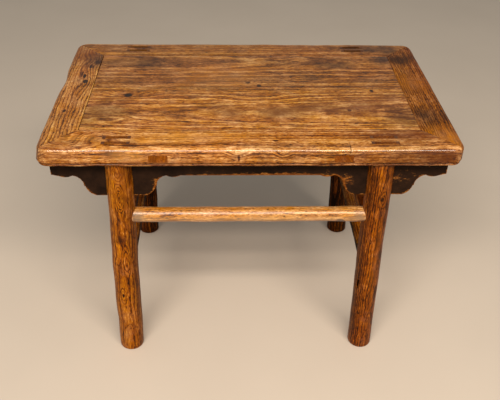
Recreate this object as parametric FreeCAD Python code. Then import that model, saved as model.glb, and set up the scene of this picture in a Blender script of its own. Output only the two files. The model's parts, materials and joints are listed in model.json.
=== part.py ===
import FreeCAD, Part
import os

# Kang table with round splayed legs, a mitred frame top and cloud-shaped aprons.
# Lengths are in millimetres. X runs along the length, Y from the front to the back and Z up.
# The origin is on the floor under the middle of the top.

# Overall size
top_length = 760.0
top_depth = 460.0
table_height = 510.0

# Frame of the top and the moulding of its edge
top_thickness = 37.0
rail_width = 70.0
plan_corner_radius = 25.0
top_arris_radius = 8.0
bead_height = 5.5
bead_setback = 2.5
bead_round_share = 0.4
edge_groove_height = 2.0
edge_groove_depth = 4.0
mitre_tenon_width = 30.0
mitre_tenon_thickness = 11.0
mitre_tenon_lift = 10.0

# Floating panel of two boards
panel_thickness = 13.0
panel_seam_offset = 7.0
panel_gap = 0.3
tongue_thickness = 6.0
tongue_length = 8.0
tongue_drop = 5.0
groove_spare = 1.0
board_tongue_thickness = 4.0
board_tongue_length = 6.0

# Cross battens under the panel, placed from the legs beside them
batten_leg_spacing = 74.5
batten_width = 40.0
batten_height = 18.0
batten_tenon_width = 33.0
batten_tenon_height = 13.5
dovetail_height = 4.0
dovetail_root = 24.0
dovetail_flare = 2.0

# Round legs: where the axis meets the top, and its spread down to the foot
leg_inset_x = 142.5
leg_inset_y = 33.0
leg_spread_x = 12.0
leg_spread_y = 3.0
leg_radius = 24.0
foot_chamfer = 3.0
leg_tenon_length = 38.0
leg_tenon_thickness = 8.5
wedge_thickness = 6.0
wedge_length = 26.0

# Small upright slot in the front right leg
slit_width = 2.6
slit_height = 20.0
slit_depth = 6.0
slit_centre_height = 178.0
slit_turn = -51.0

# Aprons: heights hang from the underside of the top
apron_thickness = 10.0
apron_end_inset = 20.0
apron_strip_height = 35.5
apron_end_height = 32.5
spandrel_height = 79.0
spandrel_reach = 85.0

# Stretchers: each drop is measured down from the piece above it
long_stretcher_drop = 46.4
long_stretcher_radius = 14.2
upper_stretcher_drop = 59.6
lower_stretcher_drop = 87.0
side_stretcher_radius = 13.0
long_tenon_height = 20.0
side_tenon_height = 18.0
stretcher_tenon_thickness = 9.0
stretcher_tenon_depth = 28.0
stretcher_tenon_root = 6.0

# Clearances
joint_gap = 0.1
cope_gap = 0.25
mortise_spare = 1.0
overrun = 5.0

# The apron's lower edge beside a leg, as shares of the reach from the leg's axis and of the drop
# from the strip to the foot of the spandrel: foot, belly, cusp, hollow and scallop
foot_share = (0.53, 0.0)
belly_share = (0.675, 0.17)
belly_end_share = (0.75, 0.46)
cusp_share = (0.775, 0.49)
hollow_share = (0.825, 0.80)
hollow_end_share = (0.99, 1.0)
scallop_share = (1.14, 0.92)
scallop_end_share = (1.29, 1.0)
wing_reach_share = 0.70

# Planes and places that several pieces share
half_length = top_length / 2
half_depth = top_depth / 2
opening_x = half_length - rail_width
opening_y = half_depth - rail_width
underside = table_height - top_thickness
bead_top = underside + bead_height
edge_groove_top = bead_top + edge_groove_height
panel_underside = table_height - panel_thickness
tongue_top = table_height - tongue_drop
tongue_bottom = tongue_top - tongue_thickness
leg_top_x = half_length - leg_inset_x
leg_top_y = half_depth - leg_inset_y
batten_offset = leg_top_x - batten_leg_spacing
apron_front = leg_top_y + apron_thickness / 2
apron_back = leg_top_y - apron_thickness / 2
apron_end_x = half_length - apron_end_inset
strip_bottom = underside - apron_strip_height
spandrel_bottom = underside - spandrel_height
long_stretcher_z = spandrel_bottom - long_stretcher_drop
upper_stretcher_z = long_stretcher_z - upper_stretcher_drop
lower_stretcher_z = upper_stretcher_z - lower_stretcher_drop


def vector(x, y, z):
    return FreeCAD.Vector(x, y, z)


def box(low, high):
    return Part.makeBox(high[0] - low[0], high[1] - low[1], high[2] - low[2], vector(*low))


def mirrored_x(shape):
    return shape.mirror(vector(0, 0, 0), vector(1, 0, 0))


def mirrored_y(shape):
    return shape.mirror(vector(0, 0, 0), vector(0, 1, 0))


def prism(points, direction):
    face = Part.Face(Part.makePolygon(points + [points[0]]))
    return face.extrude(direction)


def plan_prism(corners, z_low, z_high):
    points = [vector(x, y, z_low) for x, y in corners]
    return prism(points, vector(0, 0, z_high - z_low))


def edges_at(shape, z):
    return [edge for edge in shape.Edges if all(abs(v.Z - z) < joint_gap for v in edge.Vertexes)]


def upright_edges(shape):
    return [edge for edge in shape.Edges if abs(edge.tangentAt(edge.FirstParameter).z) > 0.99]


# The frame of the top

def rounded_plate(inset, z_low, z_high):
    low = (inset - half_length, inset - half_depth, z_low)
    high = (half_length - inset, half_depth - inset, z_high)
    plate = box(low, high)
    return plate.makeFillet(plan_corner_radius - inset, upright_edges(plate))


def top_blank():
    slab = rounded_plate(0, edge_groove_top, table_height)
    slab = slab.makeFillet(top_arris_radius, edges_at(slab, table_height))
    core = rounded_plate(edge_groove_depth, bead_top, edge_groove_top)
    bead = rounded_plate(bead_setback, underside, bead_top)
    bead_edges = edges_at(bead, underside) + edges_at(bead, bead_top)
    bead = bead.makeFillet(bead_height * bead_round_share, bead_edges)
    return slab.fuse([core, bead]).removeSplitter()


def mitre_tenon(gap):
    # Front right corner; the middle of the rail's width, from the opening's corner to the end
    middle = half_depth - rail_width / 2
    half_width = mitre_tenon_width / 2 + gap
    low_z = underside + mitre_tenon_lift - gap
    high_z = underside + mitre_tenon_lift + mitre_tenon_thickness + gap
    low = (opening_x, -middle - half_width, low_z)
    return box(low, (half_length + overrun, -middle + half_width, high_z))


def panel_groove():
    reach_x = opening_x + tongue_length + groove_spare
    reach_y = opening_y + tongue_length + groove_spare
    low = (-reach_x, -reach_y, tongue_bottom - joint_gap)
    return box(low, (reach_x, reach_y, tongue_top + joint_gap))


def leg_tenon_spans():
    # Depth ranges of a front leg's two tenons, one on each side of the apron
    front = (-apron_front - joint_gap - leg_tenon_thickness, -apron_front - joint_gap)
    back = (-apron_back + joint_gap, -apron_back + joint_gap + leg_tenon_thickness)
    return [front, back]


def leg_mortises():
    # Flared along the length, so that wedges can spread the tenons
    half_tenon = leg_tenon_length / 2
    mortises = []
    for near, far in leg_tenon_spans():
        start = near - joint_gap
        profile = [
            vector(leg_top_x - half_tenon, start, underside),
            vector(leg_top_x + half_tenon, start, underside),
            vector(leg_top_x + half_tenon + wedge_thickness, start, table_height),
            vector(leg_top_x - half_tenon - wedge_thickness, start, table_height),
        ]
        mortises.append(prism(profile, vector(0, far - near + 2 * joint_gap, 0)))
    return mortises


def front_rail(blank):
    out_x = half_length + overrun
    out_y = -half_depth - overrun
    corners = [(-out_x, out_y), (out_x, out_y), (opening_x, -opening_y), (-opening_x, -opening_y)]
    rail = blank.common(plan_prism(corners, underside, table_height))
    tenon = blank.common(mitre_tenon(0))
    rail = rail.fuse([tenon, mirrored_x(tenon)])
    cutters = [panel_groove(), batten_tenon(joint_gap), mirrored_x(batten_tenon(joint_gap))]
    for mortise in leg_mortises():
        cutters += [mortise, mirrored_x(mortise)]
    return rail.cut(cutters).removeSplitter()


def right_end_rail(blank):
    out_x = half_length + overrun
    out_y = half_depth + overrun
    corners = [(out_x, -out_y), (out_x, out_y), (opening_x, opening_y), (opening_x, -opening_y)]
    rail = blank.common(plan_prism(corners, underside, table_height))
    mortise = mitre_tenon(joint_gap)
    return rail.cut([panel_groove(), mortise, mirrored_y(mortise)])


# The floating panel and its battens

def panel_blank():
    edge_x = opening_x - panel_gap
    edge_y = opening_y - panel_gap
    board = box((-edge_x, -edge_y, panel_underside), (edge_x, edge_y, table_height))
    reach_x = opening_x + tongue_length
    reach_y = opening_y + tongue_length
    tongue = box((-reach_x, -reach_y, tongue_bottom), (reach_x, reach_y, tongue_top))
    panel = board.fuse(tongue)
    housing = dovetail_key(opening_y + tongue_length + overrun, joint_gap)
    return panel.cut([housing, mirrored_x(housing)])


def board_tongue(gap):
    # Tongue of the rear board, half way up the panel's thickness
    reach_x = opening_x - panel_gap
    middle = table_height - panel_thickness / 2
    half_tongue = board_tongue_thickness / 2 + gap
    low = (-reach_x, panel_seam_offset - board_tongue_length - gap, middle - half_tongue)
    return box(low, (reach_x, panel_seam_offset, middle + half_tongue))


def front_panel_board(panel):
    far_x = half_length
    half_space = box((-far_x, -half_depth, 0), (far_x, panel_seam_offset, table_height))
    return panel.common(half_space).cut(board_tongue(joint_gap))


def rear_panel_board(panel):
    far_x = half_length
    half_space = box((-far_x, panel_seam_offset, 0), (far_x, half_depth, table_height))
    return panel.common(half_space).fuse(panel.common(board_tongue(0))).removeSplitter()


def dovetail_key(reach_y, gap):
    half_root = dovetail_root / 2 + gap
    half_tip = half_root + dovetail_flare
    tip_z = panel_underside + dovetail_height + gap
    profile = [
        vector(batten_offset - half_root, -reach_y, panel_underside),
        vector(batten_offset + half_root, -reach_y, panel_underside),
        vector(batten_offset + half_tip, -reach_y, tip_z),
        vector(batten_offset - half_tip, -reach_y, tip_z),
    ]
    return prism(profile, vector(0, 2 * reach_y, 0))


def batten_tenon(gap):
    half_width = batten_tenon_width / 2 + gap
    low = (batten_offset - half_width, -half_depth, panel_underside - batten_tenon_height - gap)
    return box(low, (batten_offset + half_width, half_depth, panel_underside + gap))


def right_batten():
    low = (batten_offset - batten_width / 2, -opening_y, panel_underside - batten_height)
    body = box(low, (batten_offset + batten_width / 2, opening_y, panel_underside))
    return body.fuse([batten_tenon(0), dovetail_key(opening_y, 0)]).removeSplitter()


# Legs, each worked out at the front right corner

def leg_axis(z):
    spread = 1 - z / underside
    return vector(leg_top_x + leg_spread_x * spread, -leg_top_y - leg_spread_y * spread, z)


def leg_cylinder(growth):
    # Leaning cylinder on the leg's axis, a little longer than the leg at both ends
    low = leg_axis(-overrun)
    run = leg_axis(underside + overrun) - low
    return Part.makeCylinder(leg_radius + growth, run.Length, low, run)


def round_leg():
    low = leg_axis(0)
    reach = 2 * leg_radius
    slab = box((low.x - reach, low.y - reach, 0), (low.x + reach, low.y + reach, underside))
    leg = leg_cylinder(0).common(slab)
    return leg.makeChamfer(foot_chamfer, edges_at(leg, 0))


def leg_tenons():
    low_x = leg_top_x - leg_tenon_length / 2
    high_x = leg_top_x + leg_tenon_length / 2
    tenons = []
    for near, far in leg_tenon_spans():
        tenons.append(box((low_x, near, underside - overrun), (high_x, far, table_height)))
    return tenons


def apron_slot():
    reach = leg_radius + overrun
    low = (leg_top_x - reach, -apron_front - joint_gap, spandrel_bottom)
    high = (leg_top_x + reach, -apron_back + joint_gap, underside)
    return box(low, high)


def stretcher_mortises():
    return [
        long_tenon(joint_gap, mortise_spare),
        side_tenon(upper_stretcher_z, joint_gap, mortise_spare),
        side_tenon(lower_stretcher_z, joint_gap, mortise_spare),
    ]


def front_right_leg_blank():
    leg = round_leg().fuse(leg_tenons())
    return leg.cut([apron_slot()] + stretcher_mortises()).removeSplitter()


def leg_slit():
    axis = leg_axis(slit_centre_height)
    half_width = slit_width / 2
    half_height = slit_height / 2
    low = (-half_width, -leg_radius - overrun, -half_height)
    cutter = box(low, (half_width, slit_depth - leg_radius, half_height))
    cutter.rotate(vector(0, 0, 0), vector(0, 0, 1), slit_turn)
    cutter.translate(axis)
    return cutter


def leg_wedges():
    half_tenon = leg_tenon_length / 2
    thin_end = wedge_thickness * (1 - wedge_length / top_thickness)
    wedges = []
    for near, far in leg_tenon_spans():
        for side in (-1, 1):
            inner = leg_top_x + side * half_tenon
            profile = [
                vector(inner, near, table_height),
                vector(inner + side * wedge_thickness, near, table_height),
                vector(inner + side * thin_end, near, table_height - wedge_length),
                vector(inner, near, table_height - wedge_length),
            ]
            wedges.append(prism(profile, vector(0, far - near, 0)))
    return wedges


# Aprons

def spandrel_edges(leg_x, side, reach):
    # Lower edge from the leg's axis outwards on one side, as a foot, two arcs, a cusp and a scallop
    drop = strip_bottom - spandrel_bottom

    def place(share):
        return vector(leg_x + side * reach * share[0], -apron_front, spandrel_bottom + drop * share[1])

    start = place((0, 0))
    return [
        Part.LineSegment(start, place(foot_share)).toShape(),
        Part.Arc(place(foot_share), place(belly_share), place(belly_end_share)).toShape(),
        Part.LineSegment(place(belly_end_share), place(cusp_share)).toShape(),
        Part.Arc(place(cusp_share), place(hollow_share), place(hollow_end_share)).toShape(),
        Part.Arc(place(hollow_end_share), place(scallop_share), place(scallop_end_share)).toShape(),
    ]


def apron_half_outline():
    # Right half of the front apron, as edges from its middle to its end
    inner_end = leg_top_x - spandrel_reach * scallop_end_share[0]
    wing_reach = (apron_end_x - leg_top_x) * wing_reach_share
    outer_end = leg_top_x + wing_reach * scallop_end_share[0]
    y = -apron_front
    tip = vector(apron_end_x, y, underside - apron_end_height)
    end_top = vector(apron_end_x, y, underside)
    middle_top = vector(0, y, underside)
    middle_bottom = vector(0, y, strip_bottom)
    edges = [
        Part.LineSegment(middle_bottom, vector(inner_end, y, strip_bottom)).toShape(),
        Part.LineSegment(vector(outer_end, y, strip_bottom), tip).toShape(),
        Part.LineSegment(tip, end_top).toShape(),
        Part.LineSegment(end_top, middle_top).toShape(),
        Part.LineSegment(middle_top, middle_bottom).toShape(),
    ]
    edges += spandrel_edges(leg_top_x, -1, spandrel_reach)
    edges += spandrel_edges(leg_top_x, 1, wing_reach)
    return Part.Wire(Part.__sortEdges__(edges))


def front_apron():
    half = Part.Face(apron_half_outline()).extrude(vector(0, apron_thickness, 0))
    board = half.fuse(mirrored_x(half)).removeSplitter()
    back_x = apron_end_x - apron_thickness
    corners = [
        (-apron_end_x, -apron_front),
        (apron_end_x, -apron_front),
        (back_x, -apron_back),
        (-back_x, -apron_back),
    ]
    return board.common(plan_prism(corners, spandrel_bottom, underside))


def right_end_apron():
    back_x = apron_end_x - apron_thickness
    corners = [
        (apron_end_x, -apron_front),
        (apron_end_x, apron_front),
        (back_x, apron_back),
        (back_x, -apron_back),
    ]
    return plan_prism(corners, underside - apron_end_height, underside)


# Stretchers, coped over the round legs

def long_tenon(gap, spare):
    # Tenon of the front stretcher in the front right leg
    axis = leg_axis(long_stretcher_z)
    shoulder = axis.x - leg_radius
    half_height = long_tenon_height / 2 + gap
    half_thickness = stretcher_tenon_thickness / 2 + gap
    low = (shoulder - stretcher_tenon_root, axis.y - half_thickness, axis.z - half_height)
    high = (shoulder + stretcher_tenon_depth + spare, axis.y + half_thickness, axis.z + half_height)
    return box(low, high)


def side_tenon(z, gap, spare):
    # Tenon of a right side stretcher in the front right leg
    axis = leg_axis(z)
    shoulder = axis.y + leg_radius
    half_height = side_tenon_height / 2 + gap
    half_thickness = stretcher_tenon_thickness / 2 + gap
    low = (axis.x - half_thickness, shoulder - stretcher_tenon_depth - spare, z - half_height)
    high = (axis.x + half_thickness, shoulder + stretcher_tenon_root, z + half_height)
    return box(low, high)


def front_stretcher():
    axis = leg_axis(long_stretcher_z)
    start = vector(-axis.x, axis.y, axis.z)
    bar = Part.makeCylinder(long_stretcher_radius, 2 * axis.x, start, vector(1, 0, 0))
    cope = leg_cylinder(cope_gap)
    bar = bar.cut([cope, mirrored_x(cope)])
    tenon = long_tenon(0, 0)
    return bar.fuse([tenon, mirrored_x(tenon)]).removeSplitter()


def right_side_stretcher(z):
    axis = leg_axis(z)
    start = vector(axis.x, axis.y, z)
    bar = Part.makeCylinder(side_stretcher_radius, -2 * axis.y, start, vector(0, 1, 0))
    cope = leg_cylinder(cope_gap)
    bar = bar.cut([cope, mirrored_y(cope)])
    tenon = side_tenon(z, 0, 0)
    return bar.fuse([tenon, mirrored_y(tenon)]).removeSplitter()


# All pieces by name

def build_top():
    blank = top_blank()
    panel = panel_blank()
    front = front_rail(blank)
    right = right_end_rail(blank)
    batten = right_batten()
    return {
        "front_rail": front,
        "rear_rail": mirrored_y(front),
        "left_end_rail": mirrored_x(right),
        "right_end_rail": right,
        "front_panel_board": front_panel_board(panel),
        "rear_panel_board": rear_panel_board(panel),
        "left_batten": mirrored_x(batten),
        "right_batten": batten,
    }


def build_legs():
    leg = front_right_leg_blank()
    wedges = leg_wedges()
    wedges += [mirrored_x(wedge) for wedge in wedges]
    wedges += [mirrored_y(wedge) for wedge in wedges]
    return {
        "front_right_leg": leg.cut(leg_slit()),
        "front_left_leg": mirrored_x(leg),
        "rear_right_leg": mirrored_y(leg),
        "rear_left_leg": mirrored_y(mirrored_x(leg)),
        "leg_tenon_wedges": Part.makeCompound(wedges),
    }


def build_aprons():
    apron = front_apron()
    end_apron = right_end_apron()
    return {
        "front_apron": apron,
        "rear_apron": mirrored_y(apron),
        "right_end_apron": end_apron,
        "left_end_apron": mirrored_x(end_apron),
    }


def build_stretchers():
    long_bar = front_stretcher()
    upper = right_side_stretcher(upper_stretcher_z)
    lower = right_side_stretcher(lower_stretcher_z)
    return {
        "front_stretcher": long_bar,
        "rear_stretcher": mirrored_y(long_bar),
        "right_upper_stretcher": upper,
        "left_upper_stretcher": mirrored_x(upper),
        "right_lower_stretcher": lower,
        "left_lower_stretcher": mirrored_x(lower),
    }


def main():
    os.makedirs("parts", exist_ok=True)
    pieces = {}
    pieces.update(build_top())
    pieces.update(build_legs())
    pieces.update(build_aprons())
    pieces.update(build_stretchers())
    for name, shape in pieces.items():
        shape.exportStep("parts/" + name + ".step")
        print(name, "valid", shape.isValid(), "solids", len(shape.Solids))


main()
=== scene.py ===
import cmath
import json
import math
from functools import partial

import bmesh
import bpy
from mathutils import Matrix, Vector

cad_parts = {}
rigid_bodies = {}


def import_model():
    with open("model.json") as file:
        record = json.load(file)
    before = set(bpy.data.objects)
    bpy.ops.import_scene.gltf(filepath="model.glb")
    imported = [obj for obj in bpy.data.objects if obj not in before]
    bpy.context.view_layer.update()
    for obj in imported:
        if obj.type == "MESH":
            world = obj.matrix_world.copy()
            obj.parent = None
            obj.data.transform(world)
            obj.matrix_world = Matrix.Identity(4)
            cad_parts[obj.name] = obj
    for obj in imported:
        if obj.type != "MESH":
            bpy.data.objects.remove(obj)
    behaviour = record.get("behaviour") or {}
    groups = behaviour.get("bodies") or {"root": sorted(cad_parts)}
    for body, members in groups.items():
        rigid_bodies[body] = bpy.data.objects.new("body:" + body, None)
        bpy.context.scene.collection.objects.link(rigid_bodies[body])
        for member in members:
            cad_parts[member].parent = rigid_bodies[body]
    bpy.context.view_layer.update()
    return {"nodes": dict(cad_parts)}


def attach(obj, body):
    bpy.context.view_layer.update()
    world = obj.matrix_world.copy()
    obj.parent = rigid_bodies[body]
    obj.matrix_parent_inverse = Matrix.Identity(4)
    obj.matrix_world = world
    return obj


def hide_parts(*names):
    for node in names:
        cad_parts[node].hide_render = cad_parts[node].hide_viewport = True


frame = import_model()

# Kang table: a mitred frame top with a floating panel, round splayed legs, cloud-shaped aprons.
# Metres. X is the length, Y goes from the front to the back, Z is up from the floor.

tableSize = {
    "halfLength": 0.380, "halfDepth": 0.230, "height": 0.510,
    "underside": 0.473, "beadTop": 0.4785, "grooveTop": 0.4805, "panelUnderside": 0.497,
    "railWidth": 0.070,
}
halfX = tableSize["halfLength"]
halfY = tableSize["halfDepth"]
topZ = tableSize["height"]
underZ = tableSize["underside"]
beadZ = tableSize["beadTop"]
grooveZ = tableSize["grooveTop"]
panelZ = tableSize["panelUnderside"]
openingX = halfX - tableSize["railWidth"]
openingY = halfY - tableSize["railWidth"]
both = (-1, 1)
depths = (("front", -1), ("rear", 1))
ends = (("left", -1), ("right", 1))
tiny = 0.0001  # anything nearer than this is in the same place
below = 0.001  # an edge lies below a height if it is lower by this much
past = 0.01  # cutting tools reach this far past what they cut
smoothBelow = math.radians(35)  # sharper edges than this stay sharp


# Modelling steps that every piece uses

def deselect():
    bpy.ops.object.select_all(action="DESELECT")


def pick(piece):
    deselect()
    piece.select_set(True)
    bpy.context.view_layer.objects.active = piece


def settle(name):
    # Names a new primitive and moves its place into its mesh
    piece = bpy.context.object
    piece.name = name
    piece.data.name = name
    bpy.ops.object.transform_apply(location=True, rotation=True, scale=True)
    return piece


def addBlock(name, low, high):
    deselect()
    middle = [(a + b) / 2 for a, b in zip(low, high)]
    size = [b - a for a, b in zip(low, high)]
    bpy.ops.mesh.primitive_cube_add(size=1, location=middle, scale=size)
    return settle(name)


def addRod(name, start, end, radius, sides):
    # Cylinder from one point to another
    deselect()
    run = Vector(end) - Vector(start)
    middle = (Vector(end) + Vector(start)) / 2
    turn = run.to_track_quat("Z", "Y").to_euler()
    bpy.ops.mesh.primitive_cylinder_add(
        vertices=sides, radius=radius, depth=run.length, location=middle, rotation=turn)
    return settle(name)


def choose(piece, kind, test):
    # Edit mode, with only the faces, edges or corners that pass the test selected
    pick(piece)
    bpy.ops.object.mode_set(mode="EDIT")
    bpy.ops.mesh.select_mode(type=kind)
    bpy.ops.mesh.select_all(action="DESELECT")
    shape = bmesh.from_edit_mesh(piece.data)
    for part in {"FACE": shape.faces, "EDGE": shape.edges, "VERT": shape.verts}[kind]:
        if test(part):
            part.select_set(True)
    bmesh.update_edit_mesh(piece.data)


def leaveEdit():
    bpy.ops.object.mode_set(mode="OBJECT")


def edit(piece, kind, test, operator, **settings):
    # One edit-mode step on what passes the test
    choose(piece, kind, test)
    operator(**settings)
    leaveEdit()


def everything(part):
    return True


def isBelow(edge, height):
    return all(corner.co.z < height - below for corner in edge.verts)


def spanOf(edge):
    return edge.verts[1].co - edge.verts[0].co


def middleOf(edge):
    return (edge.verts[0].co + edge.verts[1].co) / 2


def cutAway(piece, point, normal):
    # Removes what lies on the normal's side of a plane and closes the cut
    edit(piece, "FACE", everything, bpy.ops.mesh.bisect,
         plane_co=point, plane_no=normal, use_fill=True, clear_outer=True)


def sliceAlong(piece, axis, places):
    # Adds rings of edges across the piece, so that it can be shaped between them
    choose(piece, "FACE", everything)
    normal = Matrix.Identity(3)[axis]
    for place in places:
        bpy.ops.mesh.select_all(action="SELECT")
        bpy.ops.mesh.bisect(plane_co=normal * place, plane_no=normal)
    leaveEdit()


def steps(low, high, spacing):
    count = max(1, round((high - low) / spacing))
    return [low + (high - low) * n / count for n in range(1, count)]


def softly(reach):
    # Settings of an edit that fades out over this distance
    return {"use_proportional_edit": True, "proportional_size": reach, "proportional_edit_falloff": "SMOOTH"}


def useModifier(piece, kind, **settings):
    pick(piece)
    modifier = piece.modifiers.new(kind.lower(), kind)
    for name, value in settings.items():
        setattr(modifier, name, value)
    bpy.ops.object.modifier_apply(modifier=modifier.name)


def carveWith(piece, operation, cutters):
    # Takes the cutters out of the piece, or joins them to it, and deletes them
    for cutter in cutters:
        useModifier(piece, "BOOLEAN", operation=operation, object=cutter, solver="EXACT")
        bpy.data.objects.remove(cutter)


def copyOf(source, name):
    pick(source)
    bpy.ops.object.duplicate()
    piece = bpy.context.object
    piece.name = name
    piece.data.name = name
    return piece


def mirrorCopy(source, name, signs):
    # Mirrored copy; an odd number of mirrored axes turns its faces inwards, so they are turned back
    piece = copyOf(source, name)
    piece.data.transform(Matrix.Diagonal((*signs, 1)))
    if math.prod(signs) < 0:
        edit(piece, "FACE", everything, bpy.ops.mesh.flip_normals)
    return piece


def wear(piece, size, depth, middle, share=None):
    # Uneven hand-worn surface: the spacing and depth of its dips, the level that stays, and a function that
    # says how worn each place is
    group = ""
    if share:
        group = "worn"
        weights = piece.vertex_groups.new(name=group)
        for vertex in piece.data.vertices:
            weights.add([vertex.index], share(vertex.co), "REPLACE")
    texture = bpy.data.textures.new(piece.name + "Wear", "CLOUDS")
    texture.noise_scale = size
    texture.noise_depth = 1
    useModifier(piece, "DISPLACE", texture=texture, texture_coords="LOCAL",
                strength=depth, mid_level=middle, vertex_group=group)


def finishPiece(piece, material):
    # A piece is called after the CAD node that it replaces, with one more word for how it was made
    words = "".join("_" + letter.lower() if letter.isupper() else letter for letter in piece.name)
    node = words.rsplit("_", 1)[0]
    pick(piece)
    bpy.ops.object.shade_smooth_by_angle(angle=smoothBelow)
    piece.data.materials.clear()
    piece.data.materials.append(material)
    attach(piece, "root")
    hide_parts(node)


# Materials

def linear(code):
    # sRGB hex to the linear values that Blender's colours hold
    values = [int(code[n:n + 2], 16) / 255 for n in (1, 3, 5)]
    return [v / 12.92 if v <= 0.04045 else ((v + 0.055) / 1.055) ** 2.4 for v in values] + [1]


def addNode(tree, kind, inputs=None, stops=None, out=0, **settings):
    # Adds one node; an input is either a value or another node's output
    made = tree.nodes.new("ShaderNode" + kind)
    for name, value in settings.items():
        setattr(made, name, value)
    for socket, value in (inputs or {}).items():
        if isinstance(value, bpy.types.NodeSocket):
            tree.links.new(value, made.inputs[socket])
        else:
            made.inputs[socket].default_value = value
    if stops:
        ramp = made.color_ramp.elements
        while len(ramp) < len(stops):
            ramp.new(1)
        for element, (position, colour) in zip(ramp, stops):
            element.position = position
            element.color = linear(colour) if isinstance(colour, str) else (colour,) * 3 + (1,)
    return made.outputs[out] if made.outputs else None


def newMaterial(name):
    # Empty material, and the function that adds a node to it
    material = bpy.data.materials.new(name)
    material.use_nodes = True
    material.node_tree.nodes.clear()
    return material, partial(addNode, material.node_tree)


def nearness(add, place, mark, heights, noise=None, edge=(0, 0, 1)):
    # Soft spot: the first height inside the mark, the second outside, and a noise to make its edge ragged
    centre, reach = [part / 1000 for part in mark[:3]], [part / 1000 for part in mark[3:6]]
    ragged, start, end = edge
    near = add("Mapping", {"Vector": place, "Location": centre, "Scale": reach}, vector_type="TEXTURE")
    far = add("VectorMath", {0: near}, operation="LENGTH", out="Value")
    if ragged:
        far = add("Math", {0: noise, 1: ragged, 2: far}, operation="MULTIPLY_ADD")
    return add("MapRange", {"Value": far, "From Min": start, "From Max": end,
                            "To Min": heights[0], "To Max": heights[1]}, interpolation_type="SMOOTHSTEP")


# Old elm, planed by hand, oiled and rubbed for generations: it shows dark open pores at the start of
# every ring, paler late wood between them, and a warm sheen that is glossier where hands have been.
# A weight says how far its pattern moves the tone. A mark is a centre and a reach in millimetres, then its
# strength: knots bend the rings by so many, spots darken the tone, and stains mix in the last value's colour.
elmBase = {
    "turn": (0, 0, 0), "pith": (0, 0, 0), "ringWidth": 0.0055,
    "along": 0.55,  # below 1 the streaks are longer
    "slowWarp": 3.0, "fineWarp": 1.3, "lineScale": 0.55,
    "base": 0.50, "ringWeight": 0.34, "yearWeight": 0.22, "lineWeight": 0.95, "bandWeight": 0.50,
    "streakWeight": 0.92, "patinaWeight": 0.75, "poreWeight": -0.45, "fleckWeight": 0.27,
    "endShare": 0.65, "endColour": "#5a3010", "dirt": 0.55, "dirtColour": "#3d2a1a",
    "roughness": (0.36, 0.52), "poreRoughness": 0.15, "specular": 0.3, "coat": 0.25, "coatRoughness": 0.18,
    "bump": {"strength": 0.6, "distance": 0.0005, "rings": 0.5, "pores": -0.7},
    "knots": [], "spots": [], "stains": [], "shine": None,
    # How ragged a mark's edge is, and where it starts and ends fading, in shares of its reach
    "spotEdge": (1.1, 0.9, 1.5), "stainEdge": (1.8, 0.9, 1.9), "shineEdge": (0.8, 1.1, 1.5),
}
# Features per metre along and across the grain, detail, roughness, and whether "along" stretches it
elmNoises = {
    "slow": (3.2, 14, 2, 0.5, False),
    "fine": (48, 120, 3, 0.5, True),
    "band": (17, 85, 4, 0.65, True),
    "streak": (62, 330, 3, 0.8, True),
    "patina": (22, 30, 6, 0.7, False),
    "dirt": (16, 34, 6, 0.75, False),
    "grit": (260, 620, 2, 0.5, True),
}
ringProfile = [(0.0, 0.05), (0.14, 0.25), (0.34, 0.85), (0.75, 1.0), (0.93, 0.6), (1.0, 0.1)]
profileMean = 0.72
mid = 0.5  # mean of a noise
soot = "#2e1a0e"
# Near-black painted shade under the table, on the rear legs and the side stretchers' inner sides
paintedShadeUnderTable = "#0e0602"
umber = "#4a2a12"


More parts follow.
